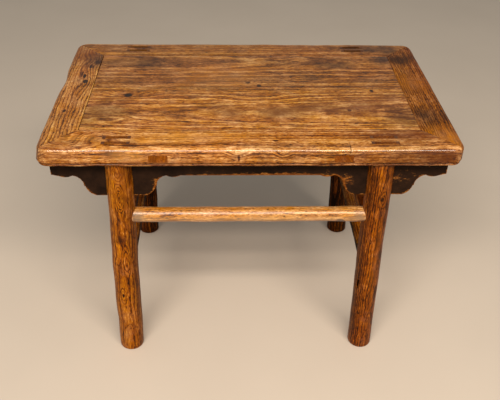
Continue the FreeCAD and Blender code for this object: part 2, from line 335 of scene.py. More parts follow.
def elm(name, own):
    look = {**elmBase, **own}
    material, add = newMaterial(name)
    place = add("TexCoord", out="Object")
    # After this mapping the grain runs along X, and the pith is the X axis
    grain = add("Mapping", {"Vector": place, "Rotation": look["turn"], "Location": look["pith"]})
    noises = []
    for length, width, detail, harsh, stretched in elmNoises.values():
        drawn = (length * look["along"] if stretched else length, width, width)
        drawn = add("Mapping", {"Vector": grain, "Scale": drawn})
        noises.append(add("TexNoise", {"Vector": drawn, "Scale": 1, "Detail": detail, "Roughness": harsh}))
    slow, fine, band, streak, patina, dirt, grit = noises
    facing = add("NewGeometry", out="Normal")
    unturned = Matrix.Rotation(-look["turn"][2], 3, "Z") @ Matrix.Rotation(-look["turn"][1], 3, "Y")
    alongGrain = unturned @ Vector((1, 0, 0))
    endFacing = add("VectorMath", {0: facing, 1: alongGrain}, operation="DOT_PRODUCT", out="Value")
    endFacing = add("Math", {0: endFacing}, operation="ABSOLUTE")
    made = {}
    for label, source, low, high, start, end in (
            ("crisp", patina, 0.35, 0.65, 1.25, 0.5),  # rings are crisp here and worn faint there
            ("pore", grit, 0.58, 0.68, 0, 1),
            ("fleck", grit, 0.42, 0.32, 0, 1),
            ("end", endFacing, 0.75, 0.97, 0, look["endShare"]),  # end grain soaks up more oil and is darker
            ("grime", dirt, 0.50, 0.72, 0, look["dirt"]),
            ("hue", slow, 0.3, 0.7, 0.496, 0.505),  # some streaks are redder and some more golden
            ("rich", patina, 0.3, 0.7, 1.12, 0.92),
            ("rough", patina, 0.3, 0.7, *look["roughness"])):
        made[label] = add("MapRange", {"Value": source, "From Min": low, "From Max": high,
                                       "To Min": start, "To Max": end})
    pore = made["pore"]
    # Distance from the pith in rings, warped by two noises and bent round each knot
    cross = add("VectorMath", {0: grain, 1: (0, 1, 1)}, operation="MULTIPLY")
    ring = add("VectorMath", {0: cross}, operation="LENGTH", out="Value")
    phase = add("Math", {0: ring, 1: 1 / look["ringWidth"]}, operation="MULTIPLY")
    warps = [(slow, look["slowWarp"]), (fine, look["fineWarp"])]
    warps += [(nearness(add, place, mark, (1, 0)), mark[6]) for mark in look["knots"]]
    for source, lift in warps:
        phase = add("Math", {0: source, 1: lift, 2: phase}, operation="MULTIPLY_ADD")
    early = add("Math", {0: phase}, operation="FRACT")
    year = add("Math", {0: phase}, operation="FLOOR")
    profile = add("ValToRGB", {"Fac": early}, stops=ringProfile)
    centred = add("Math", {0: profile, 1: profileMean}, operation="SUBTRACT")
    rings = add("Math", {0: centred, 1: made["crisp"]}, operation="MULTIPLY")
    yearTone = add("TexWhiteNoise", {"W": year}, noise_dimensions="1D", out="Value")
    # Groups of darker and paler rings, which draw the long lines of the figure
    line = add("TexNoise", {"W": phase, "Scale": look["lineScale"], "Detail": 3, "Roughness": 0.7},
               noise_dimensions="1D")
    terms = ((rings, "ringWeight", 0), (yearTone, "yearWeight", mid), (line, "lineWeight", mid),
             (band, "bandWeight", mid), (streak, "streakWeight", mid), (patina, "patinaWeight", mid),
             (pore, "poreWeight", 0), (made["fleck"], "fleckWeight", 0))
    tone = look["base"] - sum(look[key] * mean for source, key, mean in terms)
    parts = [(source, look[key]) for source, key, mean in terms]
    # Spots are the dark heart of a knot, an old nail or an ink spot, and in some places painted shade
    parts += [(nearness(add, place, mark, (1, 0), fine, look["spotEdge"]), -mark[6])
              for mark in look["spots"]]
    for source, weight in parts:
        tone = add("Math", {0: source, 1: weight, 2: tone}, operation="MULTIPLY_ADD")
    tones = [(n / (len(look["tones"]) - 1), code) for n, code in enumerate(look["tones"])]
    colour = add("ValToRGB", {"Fac": tone}, stops=tones)
    tints = [(made["end"], look["endColour"]), (made["grime"], look["dirtColour"])]
    # Broad soaked-in stains and places rubbed paler, and in some places painted shade or painted highlight
    tints += [(nearness(add, place, mark, (mark[6], 0), patina, look["stainEdge"]), mark[7])
              for mark in look["stains"]]
    for share, tint in tints:
        colour = add("Mix", {"Factor": share, 6: colour, 7: linear(tint)}, data_type="RGBA", out=2)
    colour = add("HueSaturation", {"Color": colour, "Hue": made["hue"], "Saturation": made["rich"]})
    rough = add("Math", {0: pore, 1: look["poreRoughness"], 2: made["rough"]}, operation="MULTIPLY_ADD")
    bump = look["bump"]
    height = streak
    for source, share in ((profile, bump["rings"]), (pore, bump["pores"])):
        height = add("Math", {0: source, 1: share, 2: height}, operation="MULTIPLY_ADD")
    bump = add("Bump", {"Strength": bump["strength"], "Distance": bump["distance"], "Height": height})
    coat = look["coat"]
    if look["shine"]:
        # Gloss from hands, only along the arris
        coat = nearness(add, place, look["shine"], (look["shine"][6], coat), patina, look["shineEdge"])
    shader = add("BsdfPrincipled", {"Base Color": colour, "Roughness": rough, "Normal": bump, "IOR": 1.5,
                                    "Specular IOR Level": look["specular"], "Coat Weight": coat,
                                    "Coat Roughness": look["coatRoughness"]})
    add("OutputMaterial", {"Surface": shader})
    return material


# The grain's length is turned onto X
alongY = (0, 0, math.radians(-90))
alongZ = (0, math.radians(90), 0)

print("wood materials")
# Tones run from the darkest pore to the palest late wood
frontRailWood = elm("elmRailRubbedFront", {
    "pith": (0.07, 0.3, -0.41), "base": 0.53, "streakWeight": 1, "specular": 0.2, "coat": 0.1,
    "coatRoughness": 0.14, "shine": (0, -227.5, 508, 2000, 12, 10, 0.75),
    "tones": ["#280f03", "#6a370d", "#a7692e", "#ce9653", "#eec289"],
    "knots": [
        (-330, -206, 514, 60, 50, 18, 4.6), (-268, -186, 514, 60, 36, 20, -4.2),
        (-25, -228, 500, 30, 12, 20, 1.5), (55, -228, 500, 20, 10, 15, 1.2),
    ],
    "spots": [
        (43, -200, 510, 6, 4, 10, 0.6), (-22, -231, 492, 3, 10, 9, 0.5),
        (357, -232, 491, 6, 10, 5, 0.4), (191, -231, 496, 22, 12, 18, 0.16),
        (330, -231, 490, 40, 12, 20, 0.12), (-244, -231, 500, 18, 12, 12, 0.15),
        (104, -229, 507, 30, 10, 10, 0.15),
    ],
    "stains": [
        # The first two darken the right part of the front face: painted shade.
        (310, -232, 492, 160, 16, 45, 0.6, "#542800"), (345, -232, 492, 80, 16, 45, 0.75, "#4e2400"),
        (195, -231, 494, 50, 12, 32, 0.6, "#6a3602"), (-244, -231, 500, 30, 12, 20, 0.5, "#5a2c0c"),
        # The second one is painted shade on the arris, where its highlight is dimmer.
        (-345, -220, 495, 70, 40, 50, 0.35, "#6a3810"), (95, -227.5, 507, 50, 10, 12, 0.75, "#7a4418"),
        # The first one is a painted highlight on the arris.
        (-140, -227.5, 508, 30, 8, 8, 0.4, "#f0c48e"), (-219, -231, 496, 60, 12, 20, 0.35, "#d9a25c"),
        (275, -180, 510, 130, 55, 20, 0.75, "#5a2f10"), (-108, -184, 510, 140, 28, 20, 0.35, "#dc9a50"),
        # The last one is painted shade along the bead under the front edge.
        (-305, -190, 510, 55, 14, 20, 0.25, "#d9a25c"), (0, -229, 475.5, 800, 12, 4.5, 0.5, "#4a2208"),
        # A paler line along the whole arris: wear and a painted highlight.
        (0, -227.5, 506.5, 420, 2.2, 2.2, 0.28, "#f0c48e"),
        (-182, -203, 510, 24, 10, 20, 0.6, "#dc9a50"),
    ],
})
rearRailWood = elm("elmRailRubbedRear", {
    "pith": (0.3, -0.05, -0.44), "base": 0.57,
    "tones": ["#231005", "#5a300f", "#8b5420", "#b07837", "#cc9a58"],
    "spots": [(-230, 200, 510, 35, 9, 30, 0.35), (230, 200, 510, 35, 12, 30, 0.35)],
    "stains": [
        (258, 200, 510, 100, 35, 30, 0.75, soot), (325, 180, 510, 50, 40, 30, 0.6, soot),
        (-300, 200, 510, 60, 25, 30, 0.35, umber), (-292, 170, 510, 22, 12, 20, 0.6, "#c98a4c"),
    ],
})
leftRailWood = elm("elmRailRubbedLeft", {
    "turn": alongY, "pith": (0, -0.05, -0.45), "base": 0.54, "ringWidth": 0.0065,
    "ringWeight": 0.5, "lineWeight": 0.35, "streakWeight": 0.7,
    "tones": ["#231005", "#65380f", "#9d6126", "#c08842", "#dcae6a"],
    "knots": [(-328, 40, 510, 25, 80, 30, 1.8), (-330, 140, 510, 30, 50, 30, 1.8)],
    "spots": [
        (-328, 33, 510, 7, 9, 20, 1), (-334, 58, 510, 4, 12, 20, 0.8),
        (-347, -90, 510, 4, 8, 20, 0.7), (-315, 124, 510, 11, 14, 30, 0.5),
        (-326, 103, 510, 8, 14, 30, 0.5), (-361, 150, 510, 3, 9, 20, 0.5),
    ],
    "stains": [(-350, 165, 510, 70, 85, 50, 0.6, "#7c4620"), (-315, 130, 510, 50, 60, 50, 0.75, soot)],
})
rightRailWood = elm("elmRailRubbedRight", {
    "turn": alongY, "pith": (0.2, 0.42, -0.45), "ringWidth": 0.0038, "ringWeight": 0.38,
    "lineWeight": 0.5, "bandWeight": 0.35, "streakWeight": 1.1, "patinaWeight": 0.6, "base": 0.5,
    "specular": 0.1, "coat": 0.1,
    "tones": ["#1c0b03", "#502809", "#804817", "#a4672a", "#c08644"],
    "stains": [
        (355, -195, 505, 60, 60, 30, 0.6, "#b0702e"), (340, 30, 510, 50, 50, 30, 0.35, "#ad6a2c"),
        (322, 142, 510, 45, 50, 80, 0.85, soot), (352, 160, 510, 50, 60, 50, 0.45, soot),
        (330, -110, 510, 55, 50, 80, 0.75, soot),
    ],
})
frontPanelWood = elm("elmPanelRubbedFront", {
    "turn": (0, math.radians(2), 0),
    "pith": (0, 0.095, -0.445), "ringWidth": 0.0055, "base": 0.56,
    "tones": ["#220f03", "#63350d", "#9c5f23", "#c28840", "#e0ae68"],
    "knots": [
        (-235, -27, 510, 70, 20, 30, 2.4), (191, -88, 510, 32, 11, 30, 1.3),
        (-260, -120, 510, 60, 20, 30, 1.8), (20, -40, 510, 100, 30, 30, 2),
    ],
    "spots": [
        (-235, -27, 510, 11, 9, 20, 1), (191, -88, 510, 6, 6, 20, 1), (247, -7, 510, 5, 6, 20, 0.7),
        (-10, -165, 510, 4, 5, 20, 0.7),
    ],
    "stains": [
        (-278, -92, 510, 90, 68, 30, 0.65, umber), (215, -67, 510, 95, 60, 30, 0.72, "#64391a"),
        (130, -70, 510, 50, 35, 30, 0.55, "#64391a"), (282, -40, 510, 45, 40, 30, 0.7, "#64391a"),
        (61, -103, 510, 65, 38, 30, 0.8, "#64391a"), (-37, -103, 510, 45, 34, 30, 0.55, "#64391a"),
        (-65, -79, 510, 75, 35, 30, 0.35, "#64391a"), (290, -110, 510, 60, 80, 30, 0.7, umber),
        (100, -85, 510, 210, 26, 30, 0.6, "#64391a"), (-150, -152, 510, 50, 10, 20, 0.3, "#d9a25c"),
    ],
})
rearPanelWood = elm("elmPanelRubbedRear", {
    "turn": (0, math.radians(-1.2), 0),
    "pith": (0.1, -0.13, -0.43), "ringWidth": 0.006, "base": 0.53,
    "tones": ["#231005", "#5a3110", "#8a5523", "#ae773a", "#cc9b5c"],
    "spots": [(0, 27, 510, 6, 7, 20, 0.6), (22, 16, 510, 6, 8, 20, 0.8)],
    "stains": [
        (190, 110, 510, 60, 28, 50, 0.7, soot), (298, 148, 510, 45, 45, 30, 0.85, soot),
        (-215, 125, 510, 90, 40, 50, 0.6, soot), (-275, 120, 510, 45, 40, 30, 0.4, soot),
        (-290, 155, 510, 25, 12, 20, 0.5, "#c98a4c"), (-122, 150, 510, 60, 35, 20, 0.3, "#b98048"),
        (-60, 60, 510, 140, 100, 20, 0.28, "#b98048"),
    ],
})
legTones = ["#1e0c01", "#542603", "#8a4708", "#b36b1a", "#d6933a"]
rearLegLook = {"specular": 0.05, "coat": 0, "roughness": (0.5, 0.65)}
legLooks = {
    "frontLeft": {
        "pith": (0, 0.14, -0.245), "base": 0.58,
        "knots": [
            (-239, -221, 398, 11, 20, 40, 4), (-238, -222, 460, 12, 20, 35, -3),
            (-238, -222, 250, 12, 20, 50, 2.5), (-253.2, -221.7, 158, 10, 20, 30, 2.5),
        ],
        "spots": [
            (-238.5, -222, 417, 3, 6, 3, 0.5), (-240, -222, 377, 3, 6, 3, 0.5),
            (-253.2, -221.7, 160, 4, 6, 7, 0.8),
        ],
        "stains": [
            # A darker band across the front of the leg; then the inner side darkened along its length, which
            # is painted shade.
            (-243, -222, 305, 40, 30, 16, 0.4, soot), (-222.5, -205, 250, 24, 40, 800, 0.55, "#2e1503"),
            # Darker at the top of the inner side, under the top: painted shadow.
            (-216.5, -210, 465, 16, 30, 30, 0.5, "#2e1503"),
            (-237.5, -221, 440, 30, 30, 70, 0.22, "#7d4a24"),
        ],
    },
    "frontRight": {
        "pith": (0.2, 0.16, 0.205), "base": 0.4, "ringWeight": 0.42, "lineWeight": 0.35,
        "knots": [(244.3, -220, 394, 12, 20, 30, 2.5), (250, -220, 70, 12, 20, 50, 2.5)],
        # The second spot is painted shade inside the slit.
        "spots": [(244.3, -221, 396, 4, 6, 8, 0.5), (228.9, -208.9, 178, 8.5, 8.5, 22, 1.4)],
        "stains": [
            # The inner side darkened along its length: painted shade.
            (220, -202.7, 250, 16, 30, 800, 0.6, "#2a1203"),
            # A paler stripe down the front: painted light on the round leg.
            (249.6, -222, 240, 12, 20, 120, 0.3, "#a8621c"),
        ],
    },
    # The rear legs' low base and near-black stain over the whole leg are painted shade under the top
    "rearLeft": {
        **rearLegLook,
        "pith": (0.3, -0.14, -0.205), "base": 0.22, "endColour": "#8a5a2c",
        "stains": [(-240, 200, 320, 200, 200, 460, 0.6, paintedShadeUnderTable)],
    },
    "rearRight": {
        **rearLegLook,
        "pith": (0.6, -0.14, 0.205), "base": 0.16, "endColour": "#744624",
        "stains": [(240, 200, 320, 200, 200, 460, 0.7, paintedShadeUnderTable)],
    },
}
legBase = {
    "turn": alongZ, "tones": legTones, "ringWidth": 0.0031, "along": 0.38, "ringWeight": 0.52,
    "lineWeight": 0.55, "bandWeight": 0.3, "streakWeight": 1, "patinaWeight": 0.5,
    "slowWarp": 4, "fineWarp": 0.9, "dirt": 0.2, "specular": 0.08, "coat": 0.05,
}
legWoods = {corner: elm("elmLeg" + corner, {**legBase, **own}) for corner, own in legLooks.items()}
longStretcherWood = elm("elmStretcherWorn", {
    "turn": (0, math.radians(2.5), 0),
    "pith": (0, 0.15, -0.33), "ringWidth": 0.0032, "along": 0.8, "base": 0.59, "ringWeight": 0.42,
    "lineWeight": 0.45, "streakWeight": 0.95, "bandWeight": 0.4, "patinaWeight": 0.4, "dirt": 0.3,
    "roughness": (0.3, 0.42), "specular": 0.4, "coat": 0.85, "coatRoughness": 0.32,
    "tones": ["#321505", "#824a14", "#b57632", "#d49b56", "#eec68e"],
    "spots": [
        (65, -214, 351, 4, 6, 3, 0.9), (173, -212, 340, 10, 12, 6, 0.7),
        # Both of these darken the ends next to the legs: painted shade.
        (-213, -212, 347, 12, 12, 20, 0.3), (213, -210, 340, 12, 12, 12, 0.25),
    ],
    "stains": [
        # A paler stripe along the front, painted highlight, and a darker lower half, painted shade on the
        # underside.
        (0, -214, 345, 800, 12, 9, 0.22, "#f0cc96"), (0, -205.5, 331, 2000, 30, 16.5, 0.85, "#6e3e12"),
        (-211, -212, 350, 20, 20, 22, 0.75, "#8a7258"), (209, -212, 350, 18, 20, 22, 0.6, "#8a7258"),
    ],
})
sideStretcherWood = elm("elmStretcherSide", {
    "turn": alongY, "pith": (0, 0.2, -0.2),
    "tones": legTones,
    "base": 0.62,
    # Painted shade, near black, on the inner side at both heights and both ends of the table
    "stains": [(side * x, 0, z, 16, 3000, 24, 1, paintedShadeUnderTable)
               for side in both for x, z in ((227, 287), (229.2, 200))],
    "specular": 0.1, "coat": 0, "roughness": (0.55, 0.7),
})
battenWood = elm("elmBattenDry", {
    "turn": alongY, "pith": (0, 0.1, -0.45),
    "tones": legTones,
    "endColour": "#84481a", "specular": 0.1, "coat": 0.05,
    "stains": [(163, -229.4, 490, 50, 10, 30, 0.5, "#521f00")],
})
wedgeWood = elm("elmWedgeDark", {
    "turn": alongZ,
    "tones": ["#1c0c05", "#4a2812", "#7a4b25"],
})


# Black lacquer over elm, brushed on thin and rubbed off along the edges: it shows a soft dark sheen, with
# the brown wood coming through where it was handled.
lacquerLook = {
    # Dark and faded lacquer, near-black painted shadow under the top, then dark and pale bare wood
    "colours": ["#180e08", "#332116", "#060302", "#6e3c12", "#ac7436"],
    "roughness": (0.50, 0.68), "specular": 0.05, "cloudScale": 26, "cloudShare": 2.2,
    "streakScale": (130, 320, 320), "streakShare": 1.2, "rubbedBetween": (2.12, 2.45),
    # Close under the top the lacquer is painted near black: painted shadow of the overhanging top
    "paintedShadowUnderTop": (0, 0, 473, 10000, 10000, 20, 0.85), "paintedShadowUnderTopEdge": (0, 0.3, 1.0),
    # Places where the front and its right end were rubbed through
    "patches": [
        (288, -202, 438, 50, 20, 20, 0.2), (268, -202, 420, 35, 20, 30, 0.14),
        (335, -202, 435, 35, 20, 30, -0.35), (178, -202, 425, 24, 20, 32, 0.36),
        (-172, -202, 418, 20, 20, 26, 0.5), (35, -202, 437.5, 130, 20, 14, 0.8),
    ],
    "patchEdge": (0, 0.1, 1.0),
    "bump": {"strength": 0.4, "distance": 0.0003, "rubbed": -0.8},
}


def lacquer(name):
    look = lacquerLook
    material, add = newMaterial(name)
    place = add("TexCoord", out="Object")
    cloudy = add("TexNoise", {"Vector": place, "Scale": look["cloudScale"], "Detail": 6, "Roughness": 0.7})
    drawn = add("Mapping", {"Vector": place, "Scale": look["streakScale"]})
    streak = add("TexNoise", {"Vector": drawn, "Scale": 1, "Detail": 3, "Roughness": 0.65})
    fade = add("MapRange", {"Value": cloudy, "From Min": 0.35, "From Max": 0.75})
    bare = add("MapRange", {"Value": streak, "From Min": 0.5, "From Max": 0.75})
    rough = add("MapRange", {"Value": cloudy, "From Min": 0.3, "From Max": 0.7,
                             "To Min": look["roughness"][0], "To Max": look["roughness"][1]})
    # Rubbing shows on the arrises and in the patches, broken up by two noises
    rubbed = add("Attribute", attribute_name="rubbed", out="Fac")
    parts = [(cloudy, look["cloudShare"]), (streak, look["streakShare"])]
    parts += [(nearness(add, place, mark, (mark[6], 0), edge=look["patchEdge"]), 1)
              for mark in look["patches"]]
    for source, share in parts:
        rubbed = add("Math", {0: source, 1: share, 2: rubbed}, operation="MULTIPLY_ADD")
    low, high = look["rubbedBetween"]
    rubbed = add("MapRange", {"Value": rubbed, "From Min": low, "From Max": high},
                 interpolation_type="SMOOTHSTEP")
    # Painted shadow under the overhanging top
    paintedShadowUnderTop = nearness(add, place, look["paintedShadowUnderTop"], (look["paintedShadowUnderTop"][6], 0), edge=look["paintedShadowUnderTopEdge"])
    dark, faded, black, wood, pale = [linear(code) for code in look["colours"]]
    wood = add("Mix", {"Factor": bare, 6: wood, 7: pale}, data_type="RGBA", out=2)
    colour = dark
    for share, tint in ((fade, faded), (paintedShadowUnderTop, black), (rubbed, wood)):
        colour = add("Mix", {"Factor": share, 6: colour, 7: tint}, data_type="RGBA", out=2)
    bump = look["bump"]
    height = add("Math", {0: rubbed, 1: bump["rubbed"], 2: streak}, operation="MULTIPLY_ADD")
    bump = add("Bump", {"Strength": bump["strength"], "Distance": bump["distance"], "Height": height})
    shader = add("BsdfPrincipled", {"Base Color": colour, "Roughness": rough, "Normal": bump,
                                    "Specular IOR Level": look["specular"]})
    add("OutputMaterial", {"Surface": shader})
    return material


apronLacquer = lacquer("blackLacquerRubbed")


# The top: one moulded and worn slab, cut into its four rails and two panel boards

topLook = {
    "cornerRadius": 0.025, "grooveDepth": 0.004, "beadSetback": 0.0025,
    # Heights of the outlines that are rounded, with the radius and its segments
    "roundings": [(underZ, 0.0021, 3), (beadZ, 0.0021, 3), (grooveZ, 0.0012, 2), (topZ, 0.010, 7)],
    "grid": 0.010, "wallRings": (0.4865, 0.493),
    "wear": (0.055, 0.0022, 1.0),
    "faceWear": 0.25, "arrisReach": 0.03,  # the face is worn less, from here inwards
    "seam": 0.00015, "panelSeam": 0.007, "leftGap": 0.0013,
    "easing": 0.0005, "easedAbove": 0.500, "easedAngle": 1.2,
    "tenonGap": 0.0002,
    "railTenon": {"middle": (0.3525, 0.195, 0.4885), "half": (0.0325, 0.015, 0.0055)},
    "crack": ((0.1725, -0.236, 0.500), (0.1737, -0.208, 0.512)),
    "endZone": 0.335,  # beyond this from the middle, corners belong to the short ends' walls
    "leftTrims": [(0.485, 0.0008), (0.492, 0.0013), (0.498, 0.0016)],
    "leftDip": {"y": 0.040, "halfWidth": 0.006, "depth": 0.0048, "reach": 0.060},
    "rightTaper": math.radians(-0.5),
}


def isSide(face, low, high):
    return abs(face.normal.z) < 0.5 and low < face.calc_center_median().z < high


def isOutline(edge, height):
    # Outer edge of the moulding at one height: level, and turning from a wall to a flat
    walls = [face for face in edge.link_faces if abs(face.normal.z) < 0.5]
    if len(walls) != 1 or any(abs(corner.co.z - height) > tiny for corner in edge.verts):
        return False
    # The groove's own inner corners stay sharp
    middle = middleOf(edge)
    inner = topLook["grooveDepth"] - 5 * tiny
    inside = abs(middle.x) < halfX - inner and abs(middle.y) < halfY - inner
    return not (inside and isSide(walls[0], beadZ, grooveZ))


def makeTopSlab():
    look = topLook
    slab = addBlock("topSlab", (-halfX, -halfY, underZ), (halfX, halfY, topZ))
    edit(slab, "EDGE", lambda edge: abs(spanOf(edge).z) > tiny,
         bpy.ops.mesh.bevel, offset=look["cornerRadius"], segments=10)
    sliceAlong(slab, 2, (beadZ, grooveZ))
    edit(slab, "FACE", lambda face: isSide(face, beadZ, grooveZ),
         bpy.ops.mesh.extrude_region_shrink_fatten,
         TRANSFORM_OT_shrink_fatten={"value": -look["grooveDepth"], "use_even_offset": True})
    edit(slab, "FACE", lambda face: isSide(face, 0, beadZ),
         bpy.ops.transform.shrink_fatten, value=-look["beadSetback"], use_even_offset=True)
    for height, offset, segments in look["roundings"]:
        edit(slab, "EDGE", lambda edge: isOutline(edge, height), bpy.ops.mesh.bevel,
             offset=offset, segments=segments)
    sliceAlong(slab, 0, steps(-halfX, halfX, look["grid"]))
    sliceAlong(slab, 1, steps(-halfY, halfY, look["grid"]))
    sliceAlong(slab, 2, look["wallRings"])
    # The left end is worn back from above and has a shallow dip, and the right end tapers towards the back
    zone = look["endZone"]
    for low, trim in look["leftTrims"]:
        edit(slab, "VERT", lambda corner: corner.co.x < -zone and corner.co.z > low,
             bpy.ops.transform.translate, value=(trim, 0, 0))
    dip = look["leftDip"]
    edit(slab, "VERT", lambda corner: corner.co.x < -zone and abs(corner.co.y - dip["y"]) < dip["halfWidth"],
         bpy.ops.transform.translate, value=(dip["depth"], 0, 0), **softly(dip["reach"]))
    edit(slab, "VERT", lambda corner: corner.co.x > zone, bpy.ops.transform.rotate,
         value=look["rightTaper"], orient_axis="Z", center_override=(halfX, -halfY, 0))

    def wornShare(place):
        inner = min(halfX - abs(place.x), halfY - abs(place.y))
        return look["faceWear"] + (1 - look["faceWear"]) * max(0, 1 - inner / look["arrisReach"])

    wear(slab, *look["wear"], wornShare)
    return slab


def makeRail(slab, name, axis, side):
    # Cuts one rail out of the slab: along the opening first, then at its two mitres
    opening = (openingX, openingY)
    rail = copyOf(slab, name)
    for end in (0, 1, -1):
        normal = Vector((0, 0, 0))
        normal[axis], normal[1 - axis] = -side, end
        normal.normalize()
        corner = Vector((0, 0, 0))
        corner[axis], corner[1 - axis] = side * opening[axis], end * opening[1 - axis]
        cutAway(rail, corner - normal * topLook["seam"], normal)
    return rail


def makeBoard(slab, name, low, high):
    board = copyOf(slab, name)
    gap = 2 * topLook["seam"]
    for point, normal in (((0, low + gap, 0), (0, -1, 0)), ((0, high - gap, 0), (0, 1, 0)),
                          ((openingX - gap, 0, 0), (1, 0, 0)),
                          ((-openingX + topLook["leftGap"], 0, 0), (-1, 0, 0)),
                          ((0, 0, panelZ), (0, 0, -1))):
        cutAway(board, point, normal)
    return board


def legTenonHole(side, near, far):
    # Mortise for one tenon, flared upwards for its wedges
    gap = topLook["tenonGap"]
    half = legLook["tenonHalf"]
    x, wide = side * legLook["topX"], half + gap
    hole = addBlock("hole", (x - wide, near - gap, underZ - past), (x + wide, far + gap, topZ + past))
    edit(hole, "FACE", lambda face: face.normal.z > 0.5,
         bpy.ops.transform.resize, value=(1 + legLook["tenonFlare"] / half, 1, 1))
    return hole


def battenTenonHole(side, sideY):
    gap = topLook["tenonGap"]
    half = battenLook["tenonHalf"] + gap
    x, y = side * battenLook["offset"], sideY * halfY
    low, deep = battenLook["tenonLow"], tableSize["railWidth"] + past
    return addBlock("hole", (x - half, y - deep, low - gap), (x + half, y + deep, panelZ + gap))


def railTenon(name, side, sideY, gap=0):
    # Through tenon of a long rail, or the hole for it where a gap is given
    x, y, z = topLook["railTenon"]["middle"]
    middle = Vector((side * x, sideY * y, z))
    half = Vector(topLook["railTenon"]["half"]) + Vector((gap, gap, gap))
    return addBlock(name, middle - half, middle + half)


def makeTop():
    look = topLook
    slab = makeTopSlab()
    rails = [makeRail(slab, depth + "RailWorn", 1, side) for depth, side in depths]
    rails += [makeRail(slab, end + "EndRailWorn", 0, side) for end, side in ends]
    boards = [makeBoard(slab, "frontPanelBoardWorn", -openingY, look["panelSeam"]),
              makeBoard(slab, "rearPanelBoardWorn", look["panelSeam"], openingY)]
    # Softens the corners that the cuts left on the upper face
    for piece in rails + boards:
        edit(piece, "EDGE", lambda edge: edge.is_manifold and edge.calc_face_angle() > look["easedAngle"]
             and all(corner.co.z > look["easedAbove"] for corner in edge.verts),
             bpy.ops.mesh.bevel, offset=look["easing"], segments=2)
    for rail, sideY in zip(rails, both):
        holes = [legTenonHole(side, *span) for side in both for span in tenonSpans(sideY)]
        holes += [battenTenonHole(side, sideY) for side in both]
        carveWith(rail, "DIFFERENCE", holes)
    carveWith(rails[0], "DIFFERENCE", [addBlock("hole", *look["crack"])])
    for rail, side in zip(rails[2:], both):
        carveWith(rail, "DIFFERENCE", [railTenon("hole", side, sideY, look["tenonGap"]) for sideY in both])
    for rail, sideY in zip(rails, both):
        tenons = [railTenon("tenon", side, sideY) for side in both]
        for tenon in tenons:
            # Its end is worn down together with the end rail
            useModifier(tenon, "BOOLEAN", operation="INTERSECT", object=slab, solver="EXACT")
        carveWith(rail, "UNION", tenons)
    bpy.data.objects.remove(slab)
    for rail, material in zip(rails, (frontRailWood, rearRailWood, leftRailWood, rightRailWood)):
        finishPiece(rail, material)
    for board, material in zip(boards, (frontPanelWood, rearPanelWood)):
        finishPiece(board, material)


# Battens under the panel, with the tenons whose ends show on the long edges

battenLook = {
    "offset": 0.163, "halfWidth": 0.020, "height": 0.018, "arris": 0.002, "gap": 0.0002,
    "tenonHalf": 0.0165, "tenonLow": 0.4835, "tenonSunk": 0.0006,
}


def makeBattens():
    look = battenLook
    x = look["offset"]
    top = panelZ - tiny
    far = openingY - look["gap"]
    batten = addBlock("rightBattenPlaned", (x - look["halfWidth"], -far, top - look["height"]),
                      (x + look["halfWidth"], far, top))
    edit(batten, "EDGE", lambda edge: isBelow(edge, top),
         bpy.ops.mesh.bevel, offset=look["arris"], segments=3)
    far = halfY - look["tenonSunk"]
    half = look["tenonHalf"]
    carveWith(batten, "UNION", [addBlock("tenon", (x - half, -far, look["tenonLow"]), (x + half, far, top))])
    for piece in (batten, mirrorCopy(batten, "leftBattenPlaned", (-1, 1, 1))):
        finishPiece(piece, battenWood)


# Legs: round, leaning outwards, slotted for the apron, with two tenons through the top

legLook = {
    "topX": 0.2375, "topY": 0.197, "footX": 0.2495, "footY": 0.200,
    "radius": 0.024, "sides": 64, "grid": 0.012, "footRound": 0.0035, "footRing": 0.008,
    "tenonHalf": 0.019, "tenonFlare": 0.006, "tenonRoot": 0.004,
    "tenonSpans": [(-0.2106, -0.2021), (-0.1919, -0.1834)],
    "slotHalf": 0.0051, "slotBottom": 0.3938,
    "wear": (0.060, 0.0026, 0.36), "unwornEnd": 0.002,
    # The front legs were never straight: each span is shifted along X and swollen about its own middle
    "bends": {
        "frontLeft": [((0.15, 0.22), -0.0016, 1.044, 0.17), ((-0.01, 0.03), -0.0009, 1.035, 0.07)],
        "frontRight": [((-0.01, 0.27), -0.0023, 1.0, 0.14)],
    },
}
# Short drying split at the front right
slitLook = {
    "height": 0.178, "shift": -0.0023, "turn": math.radians(-54),
    "halfWidth": 0.0029, "halfHeight": 0.0112, "depth": 0.014,
}


def legPoint(side, sideY, z):
    # Point on the axis of one leg
    share = 1 - z / underZ
    x = legLook["topX"] + (legLook["footX"] - legLook["topX"]) * share
    y = legLook["topY"] + (legLook["footY"] - legLook["topY"]) * share
    return Vector((side * x, sideY * y, z))


def tenonSpans(sideY):
    return [sorted((-sideY * near, -sideY * far)) for near, far in legLook["tenonSpans"]]


def makeLeg():
    # Worked out at the front right corner
    look = legLook
    leg = addRod("leg", legPoint(1, -1, -past), legPoint(1, -1, underZ + past), look["radius"], look["sides"])
    cutAway(leg, (0, 0, 0), (0, 0, -1))
    cutAway(leg, (0, 0, underZ), (0, 0, 1))
    edit(leg, "EDGE", lambda edge: all(abs(corner.co.z) < tiny for corner in edge.verts),
         bpy.ops.mesh.bevel, offset=look["footRound"], segments=4)
    sliceAlong(leg, 2, steps(look["footRing"], underZ, look["grid"]))
    return leg


